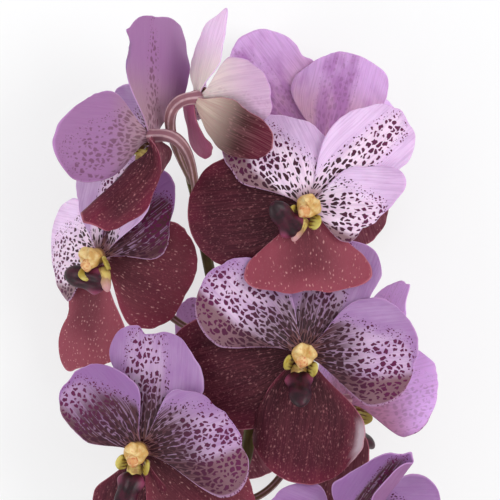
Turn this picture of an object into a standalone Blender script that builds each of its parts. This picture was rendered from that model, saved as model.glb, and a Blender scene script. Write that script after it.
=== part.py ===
"""A cut vanda orchid: one flower stem with ten open blooms, lying on a table.

The table is the plane z = 0. +Y runs along the stem from its cut end to the youngest bloom, and +Z is up,
so the blooms on the upper side face along +Z. The origin is the middle of the footprint, on the table.
Sizes below are in millimetres, and MM turns them into Blender's metres.
"""

import math

import bmesh
import bpy
from mathutils import Matrix, Vector
from mathutils.geometry import interpolate_bezier

MM = 0.001

# A blade's thickness, how wide its claw is for its width, and how far from the bloom's middle it starts.
TEPAL_THICKNESS = 0.9
CLAW_SHARE = 0.12
ROOT_RADIUS = 1.0

# The round cores that the claws grow from, and the layers that the tepals lie in, as heights above the
# middle of the bloom. Pieces that would touch are kept apart by the seat gap.
HUB_RADIUS = 3.3
HUB_SIDES = 10
LILAC_HUB = (-0.9, 1.9)
WINE_HUB = (-2.9, -1.2)
DORSAL_LAYER, PETAL_LAYER, LATERAL_LAYER = -0.3, 0.7, -2.1
SEAT_GAP = 0.3

# Cells of a blade's grid, along it and across it, and the steps in which its curve is added up.
BLADE_ALONG, BLADE_ACROSS = 7, 4
CURVE_STEPS = 12

# The share of a blade by which its cup, its folds and its twist are full, the share of its half width
# that a fold runs over, and the number and shift of the waves along a margin.
CUP_BY = 0.45
FOLD_FROM, FOLD_BY = 0.1, 0.6
FOLD_INNER, FOLD_OUTER = 0.25, 0.75
TWIST_BY = 0.4
WAVES, WAVE_SHIFT = 1.25, 1.3

# Points of one curve or profile nearer than this become one.
WELD = 0.01

LILAC = (0.62, 0.38, 0.66)
WINE = (0.24, 0.05, 0.09)
MAROON = (0.10, 0.015, 0.035)
CREAM = (0.80, 0.62, 0.28)
OLIVE = (0.24, 0.20, 0.08)
MAUVE = (0.36, 0.22, 0.22)


def tepal(turn, length, width, lift=0, bend=0, curl=0, cup=0, twist=0, wave=0, fold=(0, 0), swells=()):
    """One sepal or petal: where it points, its size, and how it is bent, in degrees and millimetres.

    turn is counted from the dorsal sepal, anticlockwise as the bloom is looked at. lift is the angle out
    of the bloom's face at the root, and bend and curl are what it gains by the tip, evenly and late.
    cup raises the margins towards the viewer, twist turns the blade about its midrib, wave is the
    height of the ruffle at the margin, and fold is what the left and the right margin are turned up.
    swells are where the margin runs wider or narrower than an oval: the middle of each, in degrees from
    the right margin through the tip, the share that it adds there, and how many degrees it fades over.
    """
    return dict(turn=turn, length=length, width=width, lift=lift, bend=bend, curl=curl, cup=cup,
                twist=twist, wave=wave, fold=fold, swells=swells)


FLAT = (0, 0)

# Each bloom's hub, the way it faces, the way its dorsal sepal points along the table, how its lip leans
# and swings, how its spur swings, how far out on it the mid lobe sits and the lip's size beside the
# others, and its tepals: dorsal sepal, left petal, right petal, left lateral sepal, right lateral sepal,
# as one looks at its face.
BLOOMS = {
    "bloom_01": dict(
        hub=(41, -34, 76), faces=(0.05, -0.10, 1.0), dorsal=70, joins=-60, lip=(55, 0, 0, 4, 1.0),
        tepals=(tepal(-8, 56, 22, 34, 4, 0, 0, 0, 1.0, (0, 145), ((35, 0.45, 30), (195, 0.5, 20))),
                tepal(88, 32, 34, 0, -10, 0, -8, 0, 1.2),
                tepal(-68, 43, 43, 10, -6, 0, -8, 0, 1.2, FLAT, ((150, 0.3, 25),)),
                tepal(156, 50, 42, -10, -14, 0, -14, 0, 0.8),
                tepal(-136, 52, 43, -6, -10, 0, -14, 0, 0.8))),
    "bloom_02": dict(
        hub=(-41, 3, 80), faces=(-0.18, -0.06, 1.0), dorsal=78, joins=-38, lip=(55, 0, 0, 4, 1.0),
        tepals=(tepal(8, 54, 37, 2, -12, 0, -10, 0, 1.2, FLAT,
                      ((-10, 0.3, 35), (85, -0.25, 25), (180, -0.45, 20))),
                tepal(53, 41, 34, 8, -14, 0, 8, 0, 1.4, FLAT, ((180, -0.15, 25),)),
                tepal(-57, 46, 38, 8, -10, 0, -8, 0, 1.2, FLAT, ((10, 0.6, 35), (115, -0.35, 60))),
                tepal(180, 50, 34, -6, -18, 0, -14, 0, 0.8, FLAT, ((190, 0.3, 35),)),
                tepal(-122, 56, 44, -6, -14, 0, -14, 0, 0.8))),
    "bloom_03": dict(
        hub=(45, 21, 40), faces=(0.75, -0.10, -0.65), dorsal=66, joins=-20, lip=(20, 0, 0, 7, 1.0),
        tepals=(tepal(4, 52, 28, 8, 0, 0, 14, 0, 1.0, FLAT, ((100, 0.15, 20),)),
                tepal(52, 41, 33, 14, 20, 0, 8, 0, 1.2, FLAT, ((170, 0.35, 35),)),
                tepal(-76, 43, 38, 20, 4, 0, 10, 0, 1.2),
                tepal(158, 44, 36, -6, -10, 0, 6, 0, 0.8),
                tepal(-160, 42, 36, 8, 10, 0, 6, 0, 0.8))),
    "bloom_04": dict(
        hub=(-11, 29, 20), faces=(0.0, 0.0, -1.0), dorsal=104, joins=-2, lip=(50, 0, 0, 4, 1.0),
        tepals=(tepal(-5, 40, 20, 20, 12, 0, 8, 0, 1.0),
                tepal(76, 44, 38, 22, 10, 0, 8, 0, 1.2),
                tepal(-76, 44, 38, 22, 10, 0, 8, 0, 1.2),
                tepal(165, 50, 40, 14, 14, 0, 6, 0, 0.8),
                tepal(-150, 50, 42, 14, 14, 0, 6, 0, 0.8))),
    "bloom_05": dict(
        hub=(26, 43, 82), faces=(0.0, -0.02, 1.0), dorsal=74, joins=14, lip=(38, 20, 0, 3.5, 1.0),
        tepals=(tepal(-4, 53, 49, -2, -14, 0, 8, 0, 1.2, FLAT, ((5, -0.3, 30), (90, -0.15, 20))),
                tepal(62, 53, 31, 6, -8, 0, -8, 0, 1.2, FLAT, ((80, -0.15, 35), (170, 0.45, 30))),
                tepal(-68, 46, 36, 8, -8, 0, -10, 0, 1.2, FLAT, ((10, 0.35, 35), (155, 0.1, 20))),
                tepal(123, 54, 47, -2, -16, 0, -12, 0, 0.8, FLAT, ((40, 0.2, 30),)),
                tepal(-172, 55, 58, 4, -6, 0, -16, 0, 0.8, (0, -80), ((-15, -0.4, 30), (45, -0.3, 45))))),
    "bloom_06": dict(
        hub=(-58, 82, 65), faces=(-0.48, 0.0, 0.88), dorsal=84, joins=50, lip=(78, -98, 31, 7, 1.0),
        tepals=(tepal(-1, 44, 37, -6, -16, 0, 10, 0, 1.0, FLAT, ((140, 0.2, 20), (190, -0.2, 25))),
                tepal(87, 37, 41, -14, -24, 0, -6, 0, 1.2, FLAT, ((65, 0.15, 40), (130, -0.2, 25))),
                tepal(-40, 39, 34, -14, -20, 0, -8, 0, 1.2, FLAT, ((45, -0.25, 30), (120, 0.4, 25))),
                tepal(154, 56, 34, -18, -10, 0, -8, 0, 0.8, FLAT,
                      ((20, -0.5, 40), (60, 0.3, 25), (80, 0.2, 15), (170, 0.2, 30))),
                tepal(-107, 40, 46, -20, -14, 0, -10, 0, 0.8, FLAT, ((80, -0.15, 30),)))),
    "bloom_07": dict(
        hub=(27, 103, 89), faces=(0.10, 0.0, 1.0), dorsal=48, joins=68, lip=(55, -95, 19, 7, 1.0),
        tepals=(tepal(-6, 57, 33, 4, -8, 0, -8, 0, 1.2, FLAT, ((90, -0.12, 40),)),
                tepal(66, 43, 38, -4, -30, 0, -8, 0, 1.2, FLAT, ((50, -0.15, 35), (140, 0.3, 30))),
                tepal(-50, 34, 32, 14, 10, 0, -20, 0, 1.2, FLAT,
                      ((30, -0.4, 30), (80, -0.25, 30), (120, 0.55, 30))),
                tepal(138, 49, 46, -8, -20, 0, -12, 0, 0.8),
                tepal(-136, 39, 36, 6, 10, 0, -16, 0, 0.8, FLAT,
                      ((15, 0.5, 20), (90, -0.25, 30), (165, 0.5, 20))))),
    "bloom_08": dict(
        hub=(35, 129, 21.5), faces=(0.20, 0.30, -0.93), dorsal=68, joins=88, lip=(78, 0, 0, 7, 1.0),
        tepals=(tepal(-7, 43, 39, 14, -8, 0, 8, 0, 1.0, FLAT, ((50, -0.15, 40), (150, 0.15, 25))),
                tepal(66, 40, 38, 24, 34, 0, 8, 0, 1.2),
                tepal(-60, 59, 37, 16, -8, 0, 8, 0, 1.2),
                tepal(142, 48, 40, 14, -8, 0, 6, 0, 0.8),
                tepal(-142, 48, 40, 14, -8, 0, 6, 0, 0.8))),
    "bloom_09": dict(
        hub=(-17, 147, 88), faces=(0.80, 0.10, -0.50), dorsal=83, joins=114, lip=(45, 0, 0, 7, 0.5),
        tepals=(tepal(-3, 33, 31, 14, 14, 0, 28, 0, 0.6, FLAT, ((105, 0.25, 15), (170, -0.35, 50))),
                tepal(84, 32, 22, 12, 54, -30, 10, 0, 0.8, FLAT, ((0, 0.3, 30), (145, 0.3, 25))),
                tepal(-70, 38, 34, 14, 60, -30, 24, 0, 0.8),
                tepal(127, 39, 28, 7, 62, -30, 18, 0, 0.6, FLAT, ((15, -0.3, 35),)),
                tepal(-134, 35, 28, 3, 52, -30, 37, 0, 0.6, FLAT, ((150, 0.2, 15),)))),
    "bloom_10": dict(
        hub=(-36, 131, 90), faces=(-0.75, -0.10, -0.65), dorsal=71, joins=102, lip=(27, -18, 0, 7, 1.0),
        tepals=(tepal(0, 58, 48, 6, 0, 0, 22, 0, 1.0, FLAT,
                      ((10, -0.5, 45), (85, -0.2, 30), (150, 0.35, 25))),
                tepal(49, 48, 35, 22, 84, -26, 8, 0, 1.2),
                tepal(-96, 33, 33, 14, 24, -10, 8, 0, 1.2, FLAT, ((40, 0.4, 30), (80, 0.5, 30))),
                tepal(137, 26, 20, 12, 50, 0, 6, 0, 0.8),
                tepal(-143, 46, 22, -19, 46, 0, -70, 104, 0.8, FLAT,
                      ((50, 0.35, 35), (120, 0.35, 40), (150, 0.4, 20))))),
}

# The flower stem's route from its cut end to its tip, and its radius at the two ends.
STEM_ROUTE = ((6, -185, 3.2), (6, -150, 10), (5, -110, 23), (2, -70, 38), (-2, -36, 47), (-1, -14, 50),
              (4, 8, 50), (3, 26, 50), (-6, 48, 50), (-12, 72, 50), (-16, 92, 50), (-19, 108, 50),
              (-22, 121, 50))
STEM_RADIUS_CUT, STEM_RADIUS_TIP = 3.5, 2.2
STEM_ROUNDNESS = 3
STEM_RINGS = 31
STEM_READINGS = 240

# Sheath scales round the bare stem: where they are, how long, and how far they stand off at root and rim.
SHEATHS = (-152, -104)
SHEATH_LENGTH = 11
SHEATH_ROOT, SHEATH_RIM = 0.1, 0.9
SHEATH_SIDES = 10

# The bract under each bloom's stalk: its profile, how far below the stalk it starts, how far its root is
# sunk into the stem, and the angle between it and the stem.
BRACT_PROFILE = ((0.0, 0.0), (2.3, 1.0), (2.1, 3.6), (0.0, 6.8))
BRACT_FLATNESS = 0.42
BRACT_BELOW = 8.2
BRACT_SUNK = 1.0
BRACT_ANGLE = 28
BRACT_SIDES = 6

# A bloom's stalk: its radius at the ovary and beyond it, its rings, its rounding, how far behind the
# bloom it is aimed from, how much it leans along the stem, and how strongly its two ends hold their way.
OVARY_RADIUS, PEDICEL_RADIUS = 2.5, 1.6
OVARY_END = 0.8
PEDICEL_RINGS, PEDICEL_ROUNDNESS = 11, 1
PEDICEL_TOP = WINE_HUB[0] - 2 * SEAT_GAP
PEDICEL_REACH = 13
PEDICEL_RISE = 0.3
PEDICEL_PULL = 0.42
PEDICEL_CLEARANCE = SEAT_GAP + 0.5

# Profiles of the turned pieces, as (radius, height) from the root up, and how they are flattened and set.
COLUMN_FOOT = LILAC_HUB[1] + SEAT_GAP + 0.45
COLUMN_LEAN = 8
COLUMN_PROFILE = ((0.0, 0.0), (3.5, 0.0), (3.4, 2.6), (4.8, 5.6), (4.0, 8.6), (0.0, 10.2))
COLUMN_OFFSET = 0.4
LIP_OFFSET, LIP_LIFT = -5.0, 0.6
LOBE_PROFILE = ((0.0, 0.0), (3.4, 0.4), (5.6, 4.0), (4.4, 8.5), (4.8, 13.0), (3.4, 17.0), (0.0, 19.0))
LOBE_FLATNESS = 0.58
SPUR_PROFILE = ((0.0, 0.0), (3.4, 0.4), (3.1, 4.0), (2.0, 9.0), (0.0, 11.0))
SPUR_DROOP = 80
EAR_PROFILE = ((0.0, 0.0), (2.8, 0.6), (3.4, 4.4), (0.0, 8.6))
EAR_PLACE = (3.5, -0.2, -0.2)
EAR_SPREAD = 24
EAR_FLATNESS = 0.42
COLUMN_SIDES, LOBE_SIDES, EAR_SIDES = 8, 7, 6


def material(name, colour, roughness):
    made = bpy.data.materials.new(name)
    made.use_nodes = True
    shader = made.node_tree.nodes["Principled BSDF"]
    shader.inputs["Base Color"].default_value = (*colour, 1)
    shader.inputs["Roughness"].default_value = roughness
    shader.inputs["Metallic"].default_value = 0
    return made


def finished(name, shape, look):
    """Makes a closed bmesh into a named object with one material."""
    bmesh.ops.recalc_face_normals(shape, faces=shape.faces)
    mesh = bpy.data.meshes.new(name)
    shape.to_mesh(mesh)
    shape.free()
    mesh.shade_smooth()
    mesh.materials.append(look)
    made = bpy.data.objects.new(name, mesh)
    bpy.context.scene.collection.objects.link(made)
    return made


def smoothstep(low, high, value):
    share = min(max((value - low) / (high - low), 0.0), 1.0)
    return share * share * (3 - 2 * share)


def blade_outline(shape, across, along):
    """A grid point, each way from -1 to 1, moved into a blade's outline of length 2 and half width 1.

    The outer half of the grid becomes half a disc, and the inner half narrows to the claw.
    """
    past_middle = max(along, 0.0)
    side = across * math.sqrt(1 - past_middle ** 2 / 2)
    reach = along * math.sqrt(1 - across ** 2 / 2) if along > 0 else along
    around = math.degrees(math.atan2(reach, side))
    if around < -90:
        around += 360
    swell = 1.0
    for middle, amount, width in shape["swells"]:
        swell += amount * math.exp(-((around - middle) / width) ** 2) * min(side ** 2 + reach ** 2, 1.0)
    side *= swell
    if reach > 0:
        reach *= swell
    widening = CLAW_SHARE + (1.05 - CLAW_SHARE) * smoothstep(-1.05, 0.0, reach)
    return side * widening, reach


def blade_point(shape, across, along):
    """A blade's point in the bloom's own axes: right, up the dorsal sepal, and out of the face."""
    side, reach = blade_outline(shape, across, along)
    share = (reach + 1) / 2
    out = rise = 0.0
    for step in range(CURVE_STEPS):
        part = share * (step + 0.5) / CURVE_STEPS
        angle = math.radians(shape["lift"] + shape["bend"] * part + shape["curl"] * part ** 3)
        out += math.cos(angle) * share * shape["length"] / CURVE_STEPS
        rise += math.sin(angle) * share * shape["length"] / CURVE_STEPS
    angle = math.radians(shape["lift"] + shape["bend"] * share + shape["curl"] * share ** 3)
    half = shape["width"] / 2
    cup = math.radians(shape["cup"]) * smoothstep(0.0, CUP_BY, share)
    fold = math.radians(shape["fold"][side > 0]) * smoothstep(FOLD_FROM, FOLD_BY, share)
    sideways = lifted = 0.0
    for step in range(CURVE_STEPS):
        part = abs(side) * (step + 0.5) / CURVE_STEPS
        rising = cup * part + fold * smoothstep(FOLD_INNER, FOLD_OUTER, part)
        sideways += math.cos(rising) * side * half / CURVE_STEPS
        lifted += math.sin(rising) * abs(side) * half / CURVE_STEPS
    ruffle = math.sin(math.tau * WAVES * share + WAVE_SHIFT * (side > 0))
    lifted += shape["wave"] * side * side * share * ruffle
    twist = math.radians(shape["twist"]) * smoothstep(0.0, TWIST_BY, share)
    turn = math.radians(shape["turn"])
    radial = Vector((-math.sin(turn), math.cos(turn), 0))
    wide = Vector((math.cos(turn), math.sin(turn), 0))
    facing = Vector((0, 0, 1))
    raised = facing * math.cos(angle) - radial * math.sin(angle)
    turned_wide = wide * math.cos(twist) + raised * math.sin(twist)
    turned_raised = raised * math.cos(twist) - wide * math.sin(twist)
    spine = radial * (ROOT_RADIUS + out) + facing * (shape["layer"] + rise)
    return spine + turned_wide * sideways + turned_raised * lifted


def blade(name, shape, place, look):
    """One tepal: a grid bent to shape, split into triangles, then thickened."""
    sheet = bmesh.new()
    bmesh.ops.create_grid(sheet, x_segments=BLADE_ACROSS, y_segments=BLADE_ALONG, size=1)
    for vertex in sheet.verts:
        vertex.co = place @ (blade_point(shape, vertex.co.x, vertex.co.y) * MM)
    bmesh.ops.triangulate(sheet, faces=sheet.faces, quad_method="SHORT_EDGE")
    made = finished(name, sheet, look)
    wall = made.modifiers.new("wall", "SOLIDIFY")
    wall.thickness = TEPAL_THICKNESS * MM
    wall.offset = 0
    return made


def disc(name, low, high, place, look):
    """The short round core that a whorl's claws grow from."""
    shape = bmesh.new()
    bmesh.ops.create_cone(shape, cap_ends=True, segments=HUB_SIDES, radius1=HUB_RADIUS * MM,
                          radius2=HUB_RADIUS * MM, depth=(high - low) * MM)
    bmesh.ops.transform(shape, matrix=place @ Matrix.Translation((0, 0, (low + high) / 2 * MM)),
                        verts=shape.verts)
    return finished(name, shape, look)


def applied(made):
    """Replaces an object's mesh with its evaluated one, without modifiers."""
    view = bpy.context.evaluated_depsgraph_get()
    mesh = bpy.data.meshes.new_from_object(made.evaluated_get(view))
    made.modifiers.clear()
    made.data = mesh


def joined(core, pieces):
    """Fuses pieces into core with one Boolean union."""
    group = bpy.data.collections.new(core.name + "_pieces")
    bpy.context.scene.collection.children.link(group)
    for piece in pieces:
        applied(piece)
        bpy.context.scene.collection.objects.unlink(piece)
        group.objects.link(piece)
    union = core.modifiers.new("union", "BOOLEAN")
    union.operation = "UNION"
    union.operand_type = "COLLECTION"
    union.collection = group
    union.solver = "EXACT"
    applied(core)
    for piece in pieces:
        bpy.data.objects.remove(piece)
    bpy.data.collections.remove(group)
    return core


def cut_flat(made):
    """Takes off what lies under the table, which leaves the small flat spots that the stem lies on."""
    shape = bmesh.new()
    shape.from_mesh(made.data)
    if min(vertex.co.z for vertex in shape.verts) < 0:
        everything = list(shape.verts) + list(shape.edges) + list(shape.faces)
        cut = bmesh.ops.bisect_plane(shape, geom=everything, plane_co=(0, 0, 0), plane_no=(0, 0, 1),
                                     clear_inner=True)
        rim = [edge for edge in cut["geom_cut"] if isinstance(edge, bmesh.types.BMEdge)]
        filled = bmesh.ops.holes_fill(shape, edges=rim)
        bmesh.ops.triangulate(shape, faces=filled["faces"])
        shape.to_mesh(made.data)
    shape.free()


def whorl(name, shapes, layers, hub, place, look):
    """The tepals of one colour, fused at their claws."""
    core = disc(name, *hub, place, look)
    blades = []
    for number, (shape, layer) in enumerate(zip(shapes, layers)):
        blades.append(blade(f"{name}_{number}", dict(shape, layer=layer), place, look))
    joined(core, blades)
    cut_flat(core)
    return core


def turned(name, profile, sides, place, look):
    """A solid of revolution about the local Z axis, from (radius, height) points, bottom to top."""
    shape = bmesh.new()
    ring = [shape.verts.new((radius * MM, 0, height * MM)) for radius, height in profile]
    edges = [shape.edges.new(pair) for pair in zip(ring, ring[1:])]
    bmesh.ops.spin(shape, geom=ring + edges, axis=(0, 0, 1), cent=(0, 0, 0), steps=sides,
                   angle=math.tau, use_merge=True)
    bmesh.ops.remove_doubles(shape, verts=shape.verts, dist=WELD * MM)
    bmesh.ops.transform(shape, matrix=place, verts=shape.verts)
    return finished(name, shape, look)


def column(name, place, look):
    foot = Matrix.Translation((0, COLUMN_OFFSET * MM, COLUMN_FOOT * MM))
    lean = foot @ Matrix.Rotation(math.radians(COLUMN_LEAN), 4, "X")
    return turned(name, COLUMN_PROFILE, COLUMN_SIDES, place @ lean, look)


def lip(name, place, look, droop, sway, spur_sway, lobe_along, size):
    """Mid lobe, two side lobes and the spur, seated under the column."""
    root = Matrix.Translation((0, 0, (COLUMN_FOOT + LIP_LIFT) * MM))
    foot = place @ root @ Matrix.Rotation(math.radians(spur_sway), 4, "Z")
    foot = foot @ Matrix.Translation((0, LIP_OFFSET * MM, 0)) @ Matrix.Scale(size, 4)
    spur_lean = foot @ Matrix.Rotation(math.radians(SPUR_DROOP), 4, "X")
    lobe_foot = spur_lean @ Matrix.Translation((0, 0, lobe_along * MM))
    swing = place.to_3x3().to_4x4() @ Matrix.Rotation(math.radians(sway), 4, "Z")
    forward = Matrix.Translation(lobe_foot.translation) @ swing @ Matrix.Rotation(math.radians(droop), 4, "X")
    forward = forward @ Matrix.Diagonal((size, LOBE_FLATNESS * size, size, 1))
    core = turned(name, LOBE_PROFILE, LOBE_SIDES, forward, look)
    pieces = [turned(name + "_spur", SPUR_PROFILE, EAR_SIDES, spur_lean, look)]
    for side in (-1, 1):
        ear = foot @ Matrix.Translation(Vector((side * EAR_PLACE[0], EAR_PLACE[1], EAR_PLACE[2])) * MM)
        ear = ear @ Matrix.Rotation(math.radians(side * EAR_SPREAD), 4, "Y")
        ear = ear @ Matrix.Diagonal((EAR_FLATNESS, 1, 1, 1))
        pieces.append(turned(f"{name}_ear{side}", EAR_PROFILE, EAR_SIDES, ear, look))
    return joined(core, pieces)


def bloom_place(bloom):
    """The bloom's axes in the world, as a matrix: right, up the dorsal sepal, and out of its face."""
    facing = Vector(bloom["faces"]).normalized()
    heading = math.radians(bloom["dorsal"])
    up = Vector((math.cos(heading), math.sin(heading), 0))
    up = (up - facing * up.dot(facing)).normalized()
    right = up.cross(facing)
    turned_axes = Matrix((right, up, facing)).transposed().to_4x4()
    return Matrix.Translation(Vector(bloom["hub"]) * MM) @ turned_axes


def smooth_route(points, count):
    """Points read from a smooth curve through the route's own points."""
    places = [Vector(point) for point in points]
    spans = len(places) - 1
    read = []
    for step in range(count + 1):
        along = step / count * spans
        first = min(int(along), spans - 1)
        share = along - first
        before = places[max(first - 1, 0)]
        start, end = places[first], places[first + 1]
        after = places[min(first + 2, spans)]
        leave = (end - before) / 2
        arrive = (after - start) / 2
        passed = 3 * share ** 2 - 2 * share ** 3
        leaving = share ** 3 - 2 * share ** 2 + share
        arriving = share ** 3 - share ** 2
        read.append(start * (1 - passed) + leave * leaving + end * passed + arrive * arriving)
    return read


def stalk(name, points, radii, roundness, look):
    """A closed tube along a route, made as a curve with a round bevel and filled ends."""
    line = bpy.data.curves.new(name + "_line", "CURVE")
    line.dimensions = "3D"
    line.bevel_depth = MM
    line.bevel_resolution = roundness
    line.use_fill_caps = True
    route = line.splines.new("POLY")
    route.points.add(len(points) - 1)
    for knot, point, radius in zip(route.points, points, radii):
        knot.co = (*(point * MM), 1)
        knot.radius = radius
    draft = bpy.data.objects.new(name + "_line", line)
    bpy.context.scene.collection.objects.link(draft)
    view = bpy.context.evaluated_depsgraph_get()
    mesh = bpy.data.meshes.new_from_object(draft.evaluated_get(view))
    shape = bmesh.new()
    shape.from_mesh(mesh)
    bmesh.ops.remove_doubles(shape, verts=shape.verts, dist=WELD * MM)
    bpy.data.objects.remove(draft)
    bpy.data.meshes.remove(mesh)
    return finished(name, shape, look)


def stem_at(height):
    """The stem's centre where it passes a height along Y, and its heading there."""
    route = smooth_route(STEM_ROUTE, STEM_READINGS)
    nearest = min(range(1, STEM_READINGS), key=lambda index: abs(route[index].y - height))
    return route[nearest], (route[nearest + 1] - route[nearest - 1]).normalized()


def stem_radius(height):
    low, high = STEM_ROUTE[0][1], STEM_ROUTE[-1][1]
    return STEM_RADIUS_CUT + (STEM_RADIUS_TIP - STEM_RADIUS_CUT) * (height - low) / (high - low)


def joint(bloom, place):
    """Where a bloom's stalk meets the stem: the stem's centre and heading there, and the way out to it."""
    root, heading = stem_at(bloom["joins"])
    out = place @ Vector((0, 0, (PEDICEL_TOP - PEDICEL_REACH) * MM)) / MM - root
    return root, heading, (out - heading * out.dot(heading)).normalized()


def pedicel(name, bloom, place, look):
    """The stalk with the ovary, in one arc from the back of a bloom to the stem."""
    start = place @ Vector((0, 0, PEDICEL_TOP * MM)) / MM
    away = (place.to_3x3() @ Vector((0, 0, -1))).normalized()
    root, heading, out = joint(bloom, place)
    leave = (out + heading * PEDICEL_RISE).normalized()
    end = root + out * (stem_radius(bloom["joins"]) + PEDICEL_CLEARANCE)
    pull = (end - start).length * PEDICEL_PULL
    route = interpolate_bezier(start, start + away * pull, end + leave * pull, end, PEDICEL_RINGS)
    radii = []
    for index in range(PEDICEL_RINGS):
        swelling = 1 - smoothstep(0.0, OVARY_END, index / (PEDICEL_RINGS - 1))
        radii.append(PEDICEL_RADIUS + (OVARY_RADIUS - PEDICEL_RADIUS) * swelling)
    return stalk(name, route, radii, PEDICEL_ROUNDNESS, look)


def bract(name, bloom, place, look):
    """The small scale that a bloom's stalk grows above, flattened towards the stem."""
    root, heading, out = joint(bloom, place)
    lean = math.radians(BRACT_ANGLE)
    along = heading * math.cos(lean) + out * math.sin(lean)
    outward = out * math.cos(lean) - heading * math.sin(lean)
    foot = root - heading * BRACT_BELOW + out * (stem_radius(bloom["joins"]) - BRACT_SUNK)
    axes = Matrix((outward.cross(along), outward, along)).transposed().to_4x4()
    set_down = Matrix.Translation(foot * MM) @ axes @ Matrix.Diagonal((1, BRACT_FLATNESS, 1, 1))
    return turned(name, BRACT_PROFILE, BRACT_SIDES, set_down, look)


def sheath(name, height, look):
    """A scale that wraps the bare stem."""
    root, heading = stem_at(height)
    near, far = stem_radius(height) + SHEATH_ROOT, stem_radius(height) + SHEATH_RIM
    profile = ((0.0, 0.0), (near, 0.0), (far, SHEATH_LENGTH), (0.0, SHEATH_LENGTH))
    axes = Vector((0, 0, 1)).rotation_difference(heading).to_matrix().to_4x4()
    return turned(name, profile, SHEATH_SIDES, Matrix.Translation(root * MM) @ axes, look)


def stem(name, places, look):
    """The flower stem with its sheath scales and bracts, flat where it lies on the table."""
    route = smooth_route(STEM_ROUTE, STEM_RINGS - 1)
    radii = [stem_radius(point.y) for point in route]
    core = stalk(name, route, radii, STEM_ROUNDNESS, look)
    pieces = [sheath(f"{name}_sheath{height}", height, look) for height in SHEATHS]
    for bloom, place in places:
        pieces.append(bract(name + "_bract", bloom, place, look))
    joined(core, pieces)
    cut_flat(core)
    return core


def build():
    for old in list(bpy.data.objects):
        bpy.data.objects.remove(old)
    lilac = material("lilac", LILAC, 0.5)
    wine = material("wine", WINE, 0.5)
    maroon = material("maroon", MAROON, 0.35)
    cream = material("cream", CREAM, 0.45)
    olive = material("olive", OLIVE, 0.55)
    mauve = material("mauve", MAUVE, 0.5)
    places = []
    for name, bloom in BLOOMS.items():
        place = bloom_place(bloom)
        places.append((bloom, place))
        dorsal, left, right, lower_left, lower_right = bloom["tepals"]
        whorl(name + "_petals", (dorsal, left, right), (DORSAL_LAYER, PETAL_LAYER, PETAL_LAYER),
              LILAC_HUB, place, lilac)
        whorl(name + "_lateral_sepals", (lower_left, lower_right), (LATERAL_LAYER, LATERAL_LAYER),
              WINE_HUB, place, wine)
        column(name + "_column", place, cream)
        lip(name + "_lip", place, maroon, *bloom["lip"])
        pedicel(name + "_pedicel", bloom, place, mauve)
    stem("stem", places, olive)


build()
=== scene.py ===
from math import atan2, cos, degrees, exp, log, radians, sin, sqrt, tau
from types import SimpleNamespace

import bmesh
import bpy
from mathutils import Matrix, Quaternion, Vector, noise
from mathutils.geometry import interpolate_bezier


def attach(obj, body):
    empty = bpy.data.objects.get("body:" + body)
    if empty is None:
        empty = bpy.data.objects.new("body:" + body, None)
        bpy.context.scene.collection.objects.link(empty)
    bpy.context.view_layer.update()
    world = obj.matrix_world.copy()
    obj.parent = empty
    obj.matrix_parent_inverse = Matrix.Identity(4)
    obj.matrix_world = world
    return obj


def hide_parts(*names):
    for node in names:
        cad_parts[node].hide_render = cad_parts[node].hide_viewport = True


# A cut flower stem of a spotted vanda orchid, lying on a table with its ten open blooms. Lengths below
# are in millimetres, and MM turns them into metres. The stem runs along +Y and the table is z = 0.
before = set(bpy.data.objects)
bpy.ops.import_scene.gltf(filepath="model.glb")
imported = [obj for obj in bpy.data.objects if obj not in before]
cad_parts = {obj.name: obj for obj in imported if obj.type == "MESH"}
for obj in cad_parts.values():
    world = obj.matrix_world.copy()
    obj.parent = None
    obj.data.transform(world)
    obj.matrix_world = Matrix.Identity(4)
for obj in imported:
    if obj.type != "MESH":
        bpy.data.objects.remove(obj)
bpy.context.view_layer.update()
MM = 0.001


# The lilac whorl: a bloom's dorsal sepal and its two petals, thin living tissue that is lilac at the
# margin and paler among wine-red spots, which run out along the veins. Each narrows to a claw, and the
# three grow from one ring at the top of the ovary.

# Where each bloom's middle is, the way it faces, the way its dorsal sepal points, in degrees from +X, how
# pink its lilac is, and how young and unripe its colours are.
BLOOMS = {
    "bloom_01": ((41, -34, 76), (0.05, -0.10, 1), 70, 0.1, 0),
    "bloom_02": ((-41, 3, 80), (-0.18, -0.06, 1), 78, 0.15, 0),
    # bloom_03's pink of 1 is partly painted light: besides a pinker tint, it lightens this down-facing
    # bloom's tepals, which turn away from the lamps.
    "bloom_03": ((45, 21, 40), (0.75, -0.10, -0.65), 66, 1, 0),
    "bloom_04": ((-11, 29, 20), (0, 0, -1), 104, 0.3, 0),
    "bloom_05": ((26, 43, 82), (0, -0.02, 1), 74, 0.2, 0),
    "bloom_06": ((-58, 82, 65), (-0.48, 0, 0.88), 84, 0.5, 0),
    "bloom_07": ((27, 103, 89), (0.10, 0, 1), 48, 0.8, 0),
    "bloom_08": ((35, 129, 21.5), (0.20, 0.30, -0.93), 68, 0.95, 0.2),
    "bloom_09": ((-17, 147, 88), (0.80, 0.10, -0.50), 83, 0.9, 1),
    "bloom_10": ((-36, 131, 90), (-0.75, -0.10, -0.65), 71, 0.1, 0),
}

TEPAL_THICKNESS = 0.65
TABLE_CLEARANCE = 0.39
GLOW_DEPTH = 1.2
ROOT_RADIUS = 1.0
CLAW_SHARE = 0.12
DORSAL_LAYER, PETAL_LAYER = -0.3, 0.7
BLADE_ALONG, BLADE_ACROSS = 30, 24
TEPALS_EACH = 5
CURVE_STEPS = 12

# The cell that holds one spot, how much narrower it gets with the blade towards the claw, and how much
# shorter it gets towards the tip.
SPOT_WIDTH, SPOT_LENGTH = 2.1, 4.4
SPOT_NARROWING = 0.55
SPOT_SHORTENING = 0.5


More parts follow.
